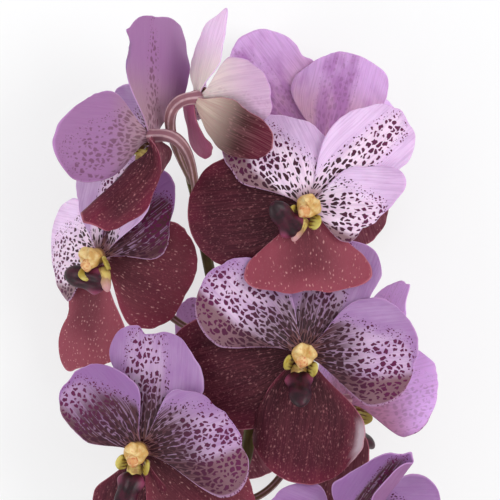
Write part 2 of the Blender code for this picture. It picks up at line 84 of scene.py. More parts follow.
def tepal(turn, length, width, lift, bend, cup, wave, swells=(), spread=1, fold=(0, 0), curl=0, twist=0):
    """One sepal or petal: where it points, its size, and how it is bent, in degrees and millimetres.

    swells are where its margin runs wider or narrower than an oval: the middle of each, in degrees from
    the right margin through the tip, the share added there, and how many degrees it fades over. spread
    is how far its spots reach, and fold how far its left and right sides are turned up.
    """
    return dict(turn=turn, length=length, width=width, lift=lift, bend=bend, cup=cup, wave=wave,
                swells=swells, spread=spread, fold=fold, curl=curl, twist=twist)


LILAC_TEPALS = {
    "bloom_01": (tepal(-8, 56, 22, 34, 4, 0, 1, ((35, 0.45, 30), (195, 0.5, 20)), fold=(0, 145)),
                 tepal(88, 32, 34, 0, -10, -8, 1.2),
                 tepal(-68, 43, 43, 10, -6, -8, 1.2, ((150, 0.3, 25),), 1.6)),
    "bloom_02": (tepal(8, 54, 37, 2, -12, -10, 1.2,
                       ((-10, 0.3, 35), (85, -0.25, 25), (180, -0.45, 20)), 1.2),
                 tepal(53, 41, 34, 8, -14, 8, 1.4, ((180, -0.15, 25),), 1.3),
                 tepal(-57, 46, 38, 8, -10, -8, 1.2, ((10, 0.6, 35), (115, -0.35, 60)), 1.3)),
    "bloom_03": (tepal(4, 52, 28, 8, 0, 14, 1, ((100, 0.15, 20),)),
                 tepal(52, 41, 33, 14, 20, 8, 1.2, ((170, 0.35, 35),)),
                 tepal(-76, 43, 38, 20, 4, 10, 1.2)),
    "bloom_04": (tepal(-5, 40, 20, 20, 12, 8, 1),
                 tepal(76, 44, 38, 22, 10, 8, 1.2),
                 tepal(-76, 44, 38, 22, 10, 8, 1.2)),
    "bloom_05": (tepal(-4, 53, 49, -2, -14, 8, 1.2, ((5, -0.3, 30), (90, -0.15, 20)), 0.85),
                 tepal(62, 53, 31, 6, -8, -8, 1.2, ((80, -0.15, 35), (170, 0.45, 30)), 1.6),
                 tepal(-68, 46, 36, 8, -8, -10, 1.2, ((10, 0.35, 35), (155, 0.1, 20)), 1.2)),
    "bloom_06": (tepal(-1, 44, 37, -6, -16, 10, 1, ((140, 0.2, 20), (190, -0.2, 25)), 0.9),
                 tepal(87, 37, 41, -14, -24, -6, 1.2, ((65, 0.15, 40), (130, -0.2, 25)), 1.4),
                 tepal(-40, 39, 34, -14, -20, -8, 1.2, ((45, -0.25, 30), (120, 0.4, 25)), 1.6)),
    "bloom_07": (tepal(-6, 57, 33, 4, -8, -8, 1.2, ((90, -0.12, 40),), 1.05),
                 tepal(66, 43, 38, -4, -30, -8, 1.2, ((50, -0.15, 35), (140, 0.3, 30)), 1),
                 tepal(-50, 34, 32, 14, 10, -20, 1.2,
                       ((30, -0.4, 30), (80, -0.25, 30), (120, 0.55, 30)), 1.3)),
    "bloom_08": (tepal(-7, 43, 39, 14, -8, 8, 1, ((50, -0.15, 40), (150, 0.15, 25))),
                 tepal(66, 40, 38, 24, 34, 8, 1.2),
                 tepal(-60, 59, 37, 16, -8, 8, 1.2, (), 0.6)),
    "bloom_09": (tepal(-3, 33, 31, 14, 14, 28, 0.6, ((105, 0.25, 15), (170, -0.35, 50)), 0.3),
                 tepal(84, 32, 22, 12, 54, 10, 0.8, ((0, 0.3, 30), (145, 0.3, 25)), 0.4, curl=-30),
                 tepal(-70, 38, 34, 14, 60, 24, 0.8, curl=-30)),
    "bloom_10": (tepal(0, 58, 48, 6, 0, 22, 1, ((10, -0.5, 45), (85, -0.2, 30), (150, 0.35, 25)), 0.35),
                 tepal(49, 48, 35, 22, 84, 8, 1.2, curl=-26),
                 tepal(-96, 33, 33, 14, 24, 8, 1.2, ((40, 0.4, 30), (80, 0.5, 30)), curl=-10)),
}

# The tepals that are pinker or darker than the rest of their bloom.
TONES = {
    "bloom_01_dorsal_sepal": -0.6, "bloom_02_left_petal": -0.1, "bloom_05_dorsal_sepal": 0.2,
    "bloom_05_left_petal": 0.25, "bloom_06_left_petal": 1, "bloom_06_right_petal": -0.6,
    "bloom_07_left_petal": 0.7, "bloom_09_left_petal": 0.2,
}

# The small hooks and nicks in some margins, in the same form as the swells.
NICKS = {
    "bloom_01_dorsal_sepal": ((80, 0.10, 6),),
    "bloom_02_dorsal_sepal": ((95, -0.08, 5),),
    "bloom_02_right_petal": ((48, -0.09, 5),),
    "bloom_03_dorsal_sepal": ((111, 0.12, 5),),
    "bloom_05_right_petal": ((62, -0.05, 4),),
    "bloom_07_dorsal_sepal": ((20, -0.10, 6),),
    "bloom_07_right_petal": ((100, -0.06, 5),),
    "bloom_08_right_petal": ((166, -0.10, 6),),
    "bloom_09_dorsal_sepal": ((107, 0.14, 8),),
    "bloom_10_dorsal_sepal": ((37, 0.10, 4), (29, -0.08, 6), (136, 0.08, 4)),
    "bloom_10_right_petal": ((86, -0.07, 5),),
}


def smoothstep(low, high, value):
    share = min(max((value - low) / (high - low), 0), 1)
    return share * share * (3 - 2 * share)


def shifted(*place):
    """A move by a place in millimetres."""
    return Matrix.Translation(Vector(place) * MM)


def rotated(turn, axis):
    """A turn in degrees about an axis."""
    return Matrix.Rotation(radians(turn), 4, axis)


def bloom_place(name):
    """A bloom's axes in the world, as a matrix: right, up the dorsal sepal, and out of its face."""
    hub, faces, dorsal = BLOOMS[name][:3]
    facing = Vector(faces).normalized()
    heading = radians(dorsal)
    up = Vector((cos(heading), sin(heading), 0))
    up = (up - facing * up.dot(facing)).normalized()
    axes = Matrix((up.cross(facing), up, facing)).transposed().to_4x4()
    return shifted(*hub) @ axes


def blade_outline(shape, across, along, seed):
    """A grid point moved into the blade's outline, its place across the veins, and how wide they fan."""
    past_middle = max(along, 0)
    side = across * sqrt(1 - past_middle ** 2 / 2)
    reach = along * sqrt(1 - across ** 2 / 2) if along > 0 else along
    around = degrees(atan2(reach, side))
    if around < -90:
        around += 360
    swell = 1 + 0.045 * noise.noise(Vector((around / 22, seed, 0)))
    swell += 0.02 * noise.noise(Vector((around / 6, seed, 5)))
    for middle, amount, width in shape["swells"]:
        swell += amount * exp(-((around - middle) / width) ** 2) * min(side ** 2 + reach ** 2, 1)
    side *= swell
    if reach > 0:
        reach *= swell
    widening = CLAW_SHARE + (1.05 - CLAW_SHARE) * smoothstep(-1.05, 0, reach)
    return side * widening, reach, side, widening


def blade_point(shape, side, reach, seed):
    """A blade's point in the bloom's own axes: right, up the dorsal sepal, and out of the face."""
    share = (reach + 1) / 2
    out = rise = 0.0
    for step in range(CURVE_STEPS):
        part = share * (step + 0.5) / CURVE_STEPS
        angle = radians(shape["lift"] + shape["bend"] * part + shape["curl"] * part ** 3)
        out += cos(angle) * share * shape["length"] / CURVE_STEPS
        rise += sin(angle) * share * shape["length"] / CURVE_STEPS
    angle = radians(shape["lift"] + shape["bend"] * share + shape["curl"] * share ** 3)
    half = shape["width"] / 2
    cup = radians(shape["cup"]) * smoothstep(0, 0.45, share)
    fold = radians(shape["fold"][side > 0]) * smoothstep(0.1, 0.6, share)
    sideways = lifted = 0.0
    for step in range(CURVE_STEPS):
        part = abs(side) * (step + 0.5) / CURVE_STEPS
        rising = cup * part + fold * smoothstep(0.25, 0.75, part)
        sideways += cos(rising) * side * half / CURVE_STEPS
        lifted += sin(rising) * abs(side) * half / CURVE_STEPS
    ruffle = sin(tau * 1.25 * share + 1.3 * (side > 0))
    lifted += shape["wave"] * side * side * share * ruffle
    lifted += 0.9 * share * noise.noise(Vector((side * 1.7, share * 3.2, seed)))
    lifted += 0.9 * side * side * noise.noise(Vector((side * 4, share * 7, seed + 9)))
    lifted -= 0.45 * exp(-(side / 0.07) ** 2) * (1 - share)
    twist = radians(shape["twist"]) * smoothstep(0, 0.4, share)
    turn = radians(shape["turn"])
    radial = Vector((-sin(turn), cos(turn), 0))
    wide = Vector((cos(turn), sin(turn), 0))
    facing = Vector((0, 0, 1))
    raised = facing * cos(angle) - radial * sin(angle)
    turned_wide = wide * cos(twist) + raised * sin(twist)
    turned_raised = raised * cos(twist) - wide * sin(twist)
    spine = radial * (ROOT_RADIUS + out) + facing * (shape["layer"] + rise)
    return spine + turned_wide * sideways + turned_raised * lifted


def blade(name, shape, place, looks, seed, spotted, tone):
    """One tepal: a grid bent to shape, with what its markings follow, given its thickness and rounded.

    spotted says how densely a point is marked and how near it is to a brown or faded margin, from how far
    across and along the blade it is. tone is the pair of numbers that its ground colour follows.
    """
    sheet = bmesh.new()
    bmesh.ops.create_grid(sheet, x_segments=BLADE_ACROSS, y_segments=BLADE_ALONG, size=1)
    fan = sheet.verts.layers.float_vector.new("fan")
    zone = sheet.verts.layers.float_vector.new("zone")
    hue = sheet.verts.layers.float_vector.new("hue")
    margin = dict(shape, swells=shape["swells"] + NICKS.get(name, ()))
    for vertex in sheet.verts:
        across, along = vertex.co.x, vertex.co.y
        side, reach, vein, widening = blade_outline(margin, across, along, seed)
        share = (reach + 1) / 2
        columns = vein * widening ** SPOT_NARROWING * shape["width"] / 2 / SPOT_WIDTH
        amount, lower = spotted(side, share)
        amount *= 1 - 0.8 * smoothstep(0.82, 1, max(abs(across), along))
        rows = -log(1 - SPOT_SHORTENING * share) / SPOT_SHORTENING * shape["length"] / SPOT_LENGTH
        vertex[fan] = (columns + seed * 17, rows + seed * 23, seed)
        vertex[zone] = (amount, max(abs(across), along), share)
        vertex[hue] = (lower, *tone)
        placed = place @ (blade_point(shape, side, reach, seed) * MM)
        placed.z = max(placed.z, TABLE_CLEARANCE * MM)
        vertex.co = placed
    mesh = bpy.data.meshes.new(name)
    sheet.to_mesh(mesh)
    sheet.free()
    mesh.shade_smooth()
    for look in looks:
        mesh.materials.append(look)
    made = bpy.data.objects.new(name, mesh)
    bpy.context.scene.collection.objects.link(made)
    wall = made.modifiers.new("wall", "SOLIDIFY")
    wall.thickness = TEPAL_THICKNESS * MM
    wall.offset = 0
    wall.material_offset = 1
    smooth = made.modifiers.new("smooth", "SUBSURF")
    smooth.levels = smooth.render_levels = 1
    return made


def tint(red, green, blue):
    """A colour as the screen shows it, from 0 to 255, turned into a shader's own values."""
    shares = (value / 255 for value in (red, green, blue))
    lit = (share / 12.92 if share < 0.04 else ((share + 0.055) / 1.055) ** 2.4 for share in shares)
    return (*lit, 1)


def put(kind, inputs, tree=None, **settings):
    """Adds a node to a tree, or to the one that its inputs come from, and sets or links its inputs."""
    linked = {socket: value for socket, value in inputs.items() if isinstance(value, bpy.types.NodeSocket)}
    tree = tree or next(iter(linked.values())).id_data
    made = tree.nodes.new("ShaderNode" + kind)
    for option, value in settings.items():
        setattr(made, option, value)
    for socket, value in inputs.items():
        if socket in linked:
            tree.links.new(value, made.inputs[socket])
        else:
            made.inputs[socket].default_value = value
    return made


def reckon(operation, *values):
    """The result of one sum on numbers and sockets."""
    return put("Math", dict(enumerate(values)), operation=operation).outputs[0]


def product(first, second):
    return reckon("MULTIPLY", first, second)


def ramp(value, low, high, from_share=0, to_share=1):
    """A number that goes smoothly from one share to another as value goes from low to high."""
    inputs = {"Value": value, "From Min": low, "From Max": high, "To Min": from_share, "To Max": to_share}
    return put("MapRange", inputs, interpolation_type="SMOOTHSTEP").outputs["Result"]


def blended(share, first, second):
    """Two colours mixed by share."""
    return put("Mix", {0: share, 6: first, 7: second}, data_type="RGBA").outputs[2]


def mottle(coordinates, scale, detail):
    """A soft noise, with its scale per metre where the coordinates are an object's own."""
    return put("TexNoise", {"Vector": coordinates, "Scale": scale, "Detail": detail}).outputs[0]


def streaked(coordinates, scale, detail):
    """A soft noise on stretched coordinates."""
    stretched = put("VectorMath", {0: coordinates, 1: scale}, operation="MULTIPLY").outputs[0]
    return mottle(stretched, 1, detail)


def markings_group():
    """Spots kept apart by pale gaps on the fan of veins, the fine streaks of the veins, and soft clouds."""
    group = bpy.data.node_groups.new("petal markings", "ShaderNodeTree")
    for name, kind in (("Fan", "Vector"), ("Amount", "Float"), ("Soft", "Float")):
        group.interface.new_socket(name, in_out="INPUT", socket_type="NodeSocket" + kind)
    for name in ("Spots", "Veins", "Cloud"):
        group.interface.new_socket(name, in_out="OUTPUT", socket_type="NodeSocketFloat")
    inside = group.nodes.new("NodeGroupInput").outputs
    outside = group.nodes.new("NodeGroupOutput").inputs
    wobble = put("TexNoise", {"Vector": inside["Fan"], "Scale": 1.3, "Detail": 1.0}).outputs["Color"]
    centred = put("VectorMath", {0: wobble, 1: (0.5, 0.5, 0.5)}, operation="SUBTRACT").outputs[0]
    pushed = put("VectorMath", {0: centred, 1: (1.1, 0.8, 0)}, operation="MULTIPLY").outputs[0]
    warped = put("VectorMath", {0: inside["Fan"], 1: pushed}, operation="ADD").outputs[0]
    cloud = streaked(inside["Fan"], (0.35, 0.22, 1), 3)
    patchy = reckon("MULTIPLY_ADD", ramp(cloud, 0.3, 0.7), 0.6, 0.7)
    amount = product(inside["Amount"], patchy)
    spots = 0.0
    for scale, low, high, gone, size in ((1, 0.08, 0.72, 9, 0.42), (1.8, 0.03, 0.20, 0.6, 0.27)):
        placed = {"Vector": warped, "Scale": scale, "Randomness": 0.8}
        cells = put("TexVoronoi", placed, voronoi_dimensions="2D")
        edges = put("TexVoronoi", placed, voronoi_dimensions="2D", feature="DISTANCE_TO_EDGE")
        chance = put("SeparateColor", {0: cells.outputs["Color"]}).outputs[0]
        reach = product(ramp(amount, low, high, 0, size), ramp(amount, high, gone, 1, 0))
        bolder = ramp(amount, 1, 1.5, 0.5, 1.2)
        reach = product(reach, reckon("MULTIPLY_ADD", chance, 0.9, bolder))
        inner = reckon("SUBTRACT", reach, cells.outputs["Distance"])
        apart = reckon("SUBTRACT", edges.outputs["Distance"], 0.09)
        mark = reckon("DIVIDE", reckon("MINIMUM", inner, apart), inside["Soft"])
        mark = put("Clamp", {"Value": mark}).outputs[0]
        spots = reckon("MAXIMUM", spots, mark)
    group.links.new(spots, outside["Spots"])
    veins = streaked(inside["Fan"], (3.2, 0.16, 1), 3)
    group.links.new(ramp(veins, 0.40, 0.66), outside["Veins"])
    group.links.new(cloud, outside["Cloud"])
    return group


MARKINGS = markings_group()


def living_look(name, roughness, gloss, glow, glow_colour):
    """A new material for living tissue, which light passes a little way into."""
    made = bpy.data.materials.new(name)
    made.use_nodes = True
    shader = made.node_tree.nodes["Principled BSDF"]
    settings = {"Roughness": roughness, "Specular IOR Level": gloss, "Subsurface Weight": glow,
                "Subsurface Radius": glow_colour, "Subsurface Scale": GLOW_DEPTH * MM}
    for socket, value in settings.items():
        shader.inputs[socket].default_value = value
    return made, made.node_tree


def finished(look, colour, relief=None, strength=0, depth=0):
    """Gives a material its colour and, from a height, its relief, with the depth in millimetres."""
    tree = look.node_tree
    shader = tree.nodes["Principled BSDF"]
    tree.links.new(colour, shader.inputs["Base Color"])
    if relief is not None:
        bump = put("Bump", {"Height": relief, "Strength": strength, "Distance": depth * MM})
        tree.links.new(bump.outputs[0], shader.inputs["Normal"])
    return look


def petal_look(name, roughness, gloss, soft=0.1):
    """A new material for a sepal or petal, and what its colours and its relief follow."""
    made, tree = living_look(name, roughness, gloss, 0.4, (1, 0.55, 0.75))
    fan, zone, hue = (put("Attribute", {}, tree, attribute_name=layer).outputs["Vector"]
                      for layer in ("fan", "zone", "hue"))
    amount, rim, share = put("SeparateXYZ", {0: zone}).outputs
    lower, pink, young = put("SeparateXYZ", {0: hue}).outputs
    marks = put("Group", {"Fan": fan, "Amount": amount, "Soft": soft}, node_tree=MARKINGS).outputs
    ribs = streaked(fan, (2.6, 0.3, 1), 4)
    return made, SimpleNamespace(
        fan=fan, amount=amount, rim=rim, share=share, lower=lower, pink=pink, young=young, ribs=ribs,
        spots=marks["Spots"], veins=marks["Veins"], cloud=marks["Cloud"])


def lilac_front():
    """Nearly white among the spots, lilac outside them, brownish along the lower margin."""
    made, at = petal_look("lilac_face", 0.5, 0.25, 0.07)
    outer = blended(at.pink, tint(144, 102, 154), tint(240, 212, 242))
    whiter = product(ramp(at.amount, 0.1, 0.8), ramp(at.pink, 0.1, 0.5, 0.3, 0.95))
    ground = blended(whiter, outer, tint(236, 214, 230))
    clouds = product(ramp(at.cloud, 0.38, 0.68), ramp(at.pink, 0.2, 1, 0.4, 0.15))
    cloudy = blended(clouds, ground, tint(142, 92, 152))
    veined = blended(product(at.veins, 0.2), cloudy, tint(132, 74, 140))
    # A deeper lilac towards the tip: partly the tepal's own tint, partly painted shade where the tip turns
    # away from the light.
    tip_tint_and_shade = blended(ramp(at.share, 0.75, 1, 0, 0.2), veined, tint(154, 96, 160))
    olive = blended(ramp(at.lower, 0.1, 0.8, 0, 0.85), tip_tint_and_shade, tint(110, 68, 68))
    inward = reckon("ADD", at.pink, at.share)
    deep = product(ramp(inward, 0.85, 0.4), ramp(at.amount, 0.1, 0.6))
    streaks = ramp(at.veins, 0.3, 0.9, 1, 0.5)
    dark = blended(product(deep, streaks), olive, tint(72, 32, 42))
    claw = blended(ramp(at.share, 0.04, 0.2, 0.8, 0), dark, tint(126, 80, 72))
    rimmed = blended(ramp(at.rim, 0.96, 1, 0, 0.4), claw, tint(212, 170, 216))
    spot = blended(ramp(at.share, 0.2, 0.8), tint(50, 14, 26), tint(92, 16, 66))
    return finished(made, blended(at.spots, rimmed, spot), at.ribs, 0.45, 0.5)


def lilac_back():
    """The underside: spots show through it blurred and brownish, and a young bloom's is paler or purple."""
    made, at = petal_look("lilac_underside", 0.55, 0.2, 0.16)
    outer = blended(at.pink, tint(146, 98, 142), tint(222, 180, 234))
    brown = product(ramp(at.share, 0.1, 0.6, 0.6, 0), ramp(at.pink, 0.9, 0.5))
    warm = ramp(at.pink, 0.6, 1, 0, 0.7)
    salmon = blended(ramp(at.share, 0.3, 0.75, warm, 0), outer, tint(196, 134, 152))
    ripe = blended(brown, salmon, tint(170, 142, 134))
    patches = ramp(reckon("MULTIPLY_ADD", at.amount, 0.35, at.cloud), 0.45, 0.9, 0, 0.85)
    purple = product(patches, ramp(at.young, 0, 0.2))
    banded = blended(purple, ripe, tint(162, 80, 172))
    bud = blended(at.pink, tint(188, 152, 180), tint(244, 212, 242))
    fresh = blended(ramp(at.share, 0.15, 0.85), tint(222, 206, 200), bud)
    ground = blended(at.young, banded, fresh)
    veined = blended(product(at.veins, 0.18), ground, tint(140, 88, 138))
    faint = product(ramp(at.young, 0, 1, 0.62, 0.1), ramp(at.pink, 0.3, 1, 1, 0.4))
    blurred = blended(product(at.spots, faint), veined, tint(96, 50, 66))
    rimmed = blended(ramp(at.rim, 0.95, 1, 0, 0.5), blurred, tint(190, 142, 196))
    return finished(made, rimmed, at.ribs, 0.4, 0.5)


def dorsal_spots(spread, bold):
    """Spots in a band along the midrib, with bare margins, and bolder near the claw by the share bold."""
    def spotted(side, share):
        band = 1 - smoothstep(0.20 * spread, 0.60 * spread, abs(side) + 0.12 * share)
        band *= 1 + bold * (1 - smoothstep(0.3, 0.7, share))
        return band * (1 - 0.55 * smoothstep(0.5, 1, share)), 0.0
    return spotted


def petal_spots(spread, upper, bold):
    """Spots up to the lower margin, thinning towards the bare upper one, bolder near the claw."""
    def spotted(side, share):
        past = upper * side + 0.9 * (share - 0.45)
        amount = 1 - smoothstep(-0.15 * spread, 0.75 * spread, past)
        amount *= 1 - 0.6 * smoothstep(0.85, 1, share)
        amount *= 1 + bold * (1 - smoothstep(0.3, 0.7, share))
        return amount, smoothstep(0.45, 1, -upper * side / (0.3 + 0.7 * min(2 * share, 1)))
    return spotted


LILAC_LOOKS = (lilac_front(), lilac_back())
for number, name in enumerate(BLOOMS):
    place = bloom_place(name)
    pink, young = BLOOMS[name][3:]
    bold = 0.5 if pink < 0.4 else 0.0
    dorsal, left, right = LILAC_TEPALS[name]
    whorl = (("dorsal_sepal", dorsal, DORSAL_LAYER, dorsal_spots(dorsal["spread"], bold)),
             ("left_petal", left, PETAL_LAYER, petal_spots(left["spread"], 1, bold)),
             ("right_petal", right, PETAL_LAYER, petal_spots(right["spread"], -1, bold)))
    for order, (part, shape, layer, spotted) in enumerate(whorl):
        tone = (TONES.get(f"{name}_{part}", pink), young)
        made = blade(f"{name}_{part}", dict(shape, layer=layer), place, LILAC_LOOKS,
                     number * TEPALS_EACH + order, spotted, tone)
        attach(made, "root")
        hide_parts(name + "_petals")


# The lateral sepals: the two lower ones, broader and heavier, dark wine red with brown middles and rosy
# margins, flecked with pale pink along their veins. They grow from a ring just behind the lilac whorl.
LATERAL_LAYER = -2.1

# Each pair, left and right, with how dark each is, from 0 to 1.
WINE_TEPALS = {
    "bloom_01": (tepal(156, 50, 42, -10, -14, -14, 0.8),
                 tepal(-136, 52, 43, -6, -10, -14, 0.8), 0.5, 0.5),
    "bloom_02": (tepal(180, 50, 34, -6, -18, -14, 0.8, ((190, 0.3, 35),)),
                 tepal(-122, 56, 44, -6, -14, -14, 0.8), 0.7, 0.3),
    "bloom_03": (tepal(158, 44, 36, -6, -10, 6, 0.8),
                 tepal(-160, 42, 36, 8, 10, 6, 0.8), 0.5, 0.5),
    "bloom_04": (tepal(165, 50, 40, 14, 14, 6, 0.8),
                 tepal(-150, 50, 42, 14, 14, 6, 0.8), 0.6, 0.6),
    "bloom_05": (tepal(123, 54, 47, -2, -16, -12, 0.8, ((40, 0.2, 30),)),
                 tepal(-172, 55, 58, 4, -6, -16, 0.8, ((-15, -0.4, 30), (45, -0.3, 45)), fold=(0, -80)),
                 0.8, 0.6),
    "bloom_06": (tepal(154, 56, 34, -18, -10, -8, 0.8,
                       ((20, -0.5, 40), (60, 0.3, 25), (80, 0.2, 15), (170, 0.2, 30))),
                 tepal(-107, 40, 46, -20, -14, -10, 0.8, ((80, -0.15, 30),)), 0.15, 0.3),
    "bloom_07": (tepal(138, 49, 46, -8, -20, -12, 0.8),
                 tepal(-136, 39, 36, 6, 10, -16, 0.8, ((15, 0.5, 20), (90, -0.25, 30), (165, 0.5, 20))),
                 0.9, 0.2),
    "bloom_08": (tepal(142, 48, 40, 14, -8, 6, 0.8),
                 tepal(-142, 48, 40, 14, -8, 6, 0.8), 0.5, 0.5),
    "bloom_09": (tepal(127, 39, 28, 7, 62, 18, 0.6, ((15, -0.3, 35),), curl=-30),
                 tepal(-134, 35, 28, 3, 52, 37, 0.6, ((150, 0.2, 15),), curl=-30), 0.5, 0.1),
    "bloom_10": (tepal(137, 26, 20, 12, 50, 6, 0.8),
                 tepal(-143, 46, 22, -19, 46, -70, 0.8,
                       ((50, 0.35, 35), (120, 0.35, 40), (150, 0.4, 20)), twist=104), 0.5, 0.5),
}


def pale_flecks(fan, stretch, least, most, soft):
    """Short pale flecks that lie along the veins, each of its own size, and some left out."""
    wobble = put("TexNoise", {"Vector": fan, "Scale": 0.9, "Detail": 2.0}).outputs["Color"]
    moved = put("VectorMath", {0: fan, 1: wobble}, operation="ADD").outputs[0]
    squeezed = put("VectorMath", {0: moved, 1: stretch}, operation="MULTIPLY").outputs[0]
    placed = {"Vector": squeezed, "Scale": 1, "Randomness": 0.9}
    cells = put("TexVoronoi", placed, voronoi_dimensions="2D")
    chance = put("SeparateColor", {0: cells.outputs["Color"]}).outputs[0]
    size = ramp(chance, least, 1, 0, most)
    inner = reckon("SUBTRACT", size, cells.outputs["Distance"])
    return put("Clamp", {"Value": reckon("DIVIDE", inner, soft)}).outputs[0]


def wine_front():
    """Brownish maroon in the middle, wine red outside it, rosy at the margin, flecked all over."""
    made, at = petal_look("wine_face", 0.55, 0.12)
    middle = blended(ramp(at.share, 0.05, 0.75), tint(46, 20, 25), tint(84, 24, 42))
    rosy = blended(ramp(at.rim, 0.55, 1, 0, 0.75), middle, tint(138, 44, 72))
    cloudy = blended(ramp(at.cloud, 0.35, 0.7, 0, 0.5), rosy, tint(66, 26, 34))
    dark = blended(product(at.pink, 0.6), cloudy, tint(40, 10, 20))
    paler = product(ramp(at.pink, 0.4, 0.15), ramp(at.rim, 0.1, 0.75, 0.35, 0.85))
    light = blended(paler, dark, tint(150, 72, 86))
    veined = blended(product(at.veins, 0.2), light, tint(130, 64, 72))
    faint = reckon("MULTIPLY_ADD", at.pink, -0.4, 0.65)
    large = product(pale_flecks(at.fan, (1.7, 1.3, 1), 0.35, 0.30, 0.25), faint)
    small = product(pale_flecks(at.fan, (3.4, 2.4, 1), 0.15, 0.42, 0.35), 0.45)
    speckled = blended(small, veined, tint(150, 84, 94))
    pale = blended(ramp(at.pink, 0.5, 0.2), tint(206, 142, 144), tint(228, 176, 172))
    flecked = blended(large, speckled, pale)
    folded = blended(product(at.lower, 0.85), flecked, tint(182, 164, 172))
    rimmed = blended(ramp(at.rim, 0.97, 1, 0, 0.5), folded, tint(188, 116, 130))
    return finished(made, rimmed, at.ribs, 0.45, 0.5)


def wine_back():
    """The underside: dull rose with paler veins, or greenish cream running to dark red on a young bloom."""
    made, at = petal_look("wine_underside", 0.6, 0.1)
    ripe = blended(ramp(at.cloud, 0.35, 0.7), tint(128, 70, 84), tint(94, 42, 56))
    pale = blended(ramp(at.share, 0.12, 0.66), tint(206, 184, 170), tint(66, 36, 36))
    fresh = blended(ramp(at.share, 0.6, 0.9), pale, tint(90, 24, 44))
    aged = blended(at.young, ripe, fresh)
    ground = blended(ramp(at.pink, 0.3, 0.1), aged, tint(190, 104, 142))
    veined = blended(product(at.veins, 0.3), ground, tint(160, 104, 112))
    flecks = pale_flecks(at.fan, (1.3, 1, 1), 0.3, 0.28, 0.12)
    flecked = blended(product(flecks, ramp(at.young, 0, 1, 0.5, 0.2)), veined, tint(200, 146, 146))
    rimmed = blended(ramp(at.rim, 0.97, 1, 0, 0.6), flecked, tint(200, 140, 150))
    return finished(made, rimmed, at.ribs, 0.5, 0.5)


# The margins painted a pale grey mauve, and the side that each is on.
PALE_GREY_MARGINS = {"bloom_05_right_lateral_sepal": -1}


def pale_grey_margin(side_of):
    """No spots, but how near a point is to a pale grey mauve margin."""
    def spotted(side, share):
        near = smoothstep(0.86, 0.96, side * side_of) * smoothstep(0.35, 0.5, share)
        return 0, near * (1 - smoothstep(0.9, 1, share))
    return spotted


WINE_LOOKS = (wine_front(), wine_back())
for number, name in enumerate(BLOOMS):
    place = bloom_place(name)
    left, right, left_dark, right_dark = WINE_TEPALS[name]
    young = BLOOMS[name][4]
    for order, (part, shape, dark) in enumerate((("left", left, left_dark), ("right", right, right_dark))):
        title = f"{name}_{part}_lateral_sepal"
        seed = number * TEPALS_EACH + 3 + order
        made = blade(title, dict(shape, layer=LATERAL_LAYER), place, WINE_LOOKS, seed,
                     pale_grey_margin(PALE_GREY_MARGINS.get(title, 0)), (dark, young))
        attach(made, "root")
        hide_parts(name + "_lateral_sepals")


# The column: the stout cream-yellow post in the middle of a bloom, fused from its stamen and style. It
# widens to two soft shoulders over the dark stigma hollow and ends in a peach-coloured anther cap with
# orange dots.
COLUMN_FOOT = 2.65
COLUMN_OFFSET = 0.4
COLUMN_LEAN = 8
COLUMN_PROFILE = ((0, -1.2), (3, -1.2), (4, -0.6), (3.6, 0.6), (3.4, 2.2), (3.9, 3.8), (4.7, 5.4),
                  (4.8, 6.8), (4.3, 8.2), (3.1, 9.3), (1.5, 9.9), (0, 10))
COLUMN_STEPS = 32
ROUGH_APART = (0, 31, 57)
CAP_PROFILE = ((0, -2.6), (1.5, -2.4), (2.4, -1.4), (2.6, 0), (2.3, 1.2), (1.4, 1.9), (0, 2.1))
CAP_PLACE = (0, -2.5, 8.2)
CAP_TILT = 40


def turned(name, profile, steps, place, look, form=None):
    """A closed shape of revolution about the local Z axis, from (radius, height) points, bottom to top.

    form moves each point, in the shape's own millimetres, before the shape is put in its place.
    """
    shape = bmesh.new()
    ring = [shape.verts.new((radius * MM, 0, height * MM)) for radius, height in profile]
    edges = [shape.edges.new(pair) for pair in zip(ring, ring[1:])]
    bmesh.ops.spin(shape, geom=ring + edges, axis=(0, 0, 1), cent=(0, 0, 0), steps=steps, angle=tau,
                   use_merge=True)
    bmesh.ops.remove_doubles(shape, verts=shape.verts, dist=0.01 * MM)
    local = shape.verts.layers.float_vector.new("local")
    for vertex in shape.verts:
        point = vertex.co / MM
        vertex[local] = point
        if form:
            vertex.co = form(point) * MM
    return settled(name, shape, place, look)


def settled(name, shape, place, look):
    """Puts a closed bmesh in its place as a named, smooth object of one material."""
    bmesh.ops.transform(shape, matrix=place, verts=shape.verts)
    bmesh.ops.recalc_face_normals(shape, faces=shape.faces)
    mesh = bpy.data.meshes.new(name)
    shape.to_mesh(mesh)
    shape.free()
    mesh.shade_smooth()
    mesh.materials.append(look)
    made = bpy.data.objects.new(name, mesh)
    bpy.context.scene.collection.objects.link(made)
    smooth = made.modifiers.new("smooth", "SUBSURF")
    smooth.levels = smooth.render_levels = 1
    return made


def hump(value, middle, width):
    return exp(-((value - middle) / width) ** 2)


def column_form(point):
    """Two shoulders with a dip between them at the back, a stigma hollow in front, and a rough surface."""
    x, y, z = point
    behind = smoothstep(-1, 3, y)
    top = smoothstep(4.5, 8, z)
    x *= (1 + 0.10 * hump(z, 6.5, 2.5)) * (1 - 0.22 * top * smoothstep(0, -4, y))
    z -= 1.6 * behind * hump(x, 0, 1.2) * top + 1.3 * hump(y, -0.6, 0.9) * top
    y += 0.8 * top * behind * hump(abs(x), 2.4, 1.4)
    y += 1.9 * (1 - behind) * hump(x, 0, 2) * hump(z, 4, 1.9)
    spot = Vector((x, y, z)) * 0.32
    rough = Vector([noise.noise(spot + Vector((0, 0, apart))) for apart in ROUGH_APART])
    return Vector((x, y, z)) + rough * smoothstep(0, 3, z)


def cap_form(point):
    """A low crest along the middle, and a blunt beak to the front."""
    x, y, z = point
    y -= 0.9 * hump(x, 0, 1.2) * smoothstep(0.5, -2.8, y) if y < 0.5 else 0.0
    return Vector((x * 1.04, y, z + 0.35 * hump(x, 0, 0.8) * smoothstep(0, 2, z)))


